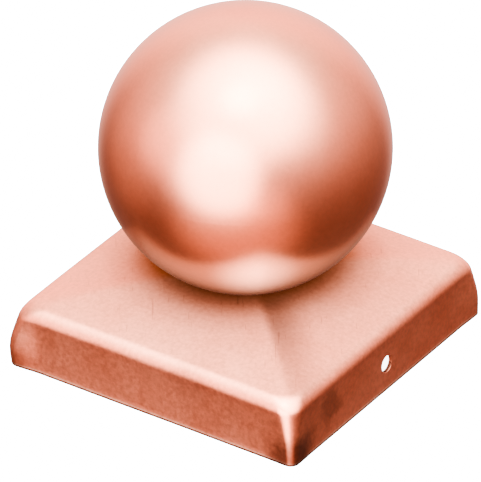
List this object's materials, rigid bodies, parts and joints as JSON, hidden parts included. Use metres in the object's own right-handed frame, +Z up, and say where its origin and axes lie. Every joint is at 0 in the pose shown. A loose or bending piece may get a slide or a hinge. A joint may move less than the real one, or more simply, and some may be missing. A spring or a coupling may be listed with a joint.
{
  "type": "fence post cap",
  "caption": "Square pressed-sheet cap for a timber fence post, with a shallow hipped roof and a hollow ball finial screwed to its centre.",
  "frame": {"origin": "centre of the open rim, in the plane the rim stands on", "axes": "+Z up through the ball; the four skirt sides face +X, -X, +Y and -Y, and the fixing holes are in the +X and -X sides"},
  "size_m": [0.093, 0.093, 0.1013],
  "materials": {
    "cap_copper": "satin copper sheet",
    "ball_copper": "satin polished copper sheet",
    "nut_steel": "plain steel",
    "screw_steel": "stainless steel",
    "washer_steel": "zinc-plated steel"
  },
  "bodies": {
    "root": {"post_cap": "cap_copper", "ball_upper_shell": "ball_copper", "ball_lower_shell": "ball_copper", "ball_weld_nut": "nut_steel", "ball_screw": "screw_steel", "spring_washer": "washer_steel", "flat_washer": "washer_steel"}
  },
  "joints": []
}
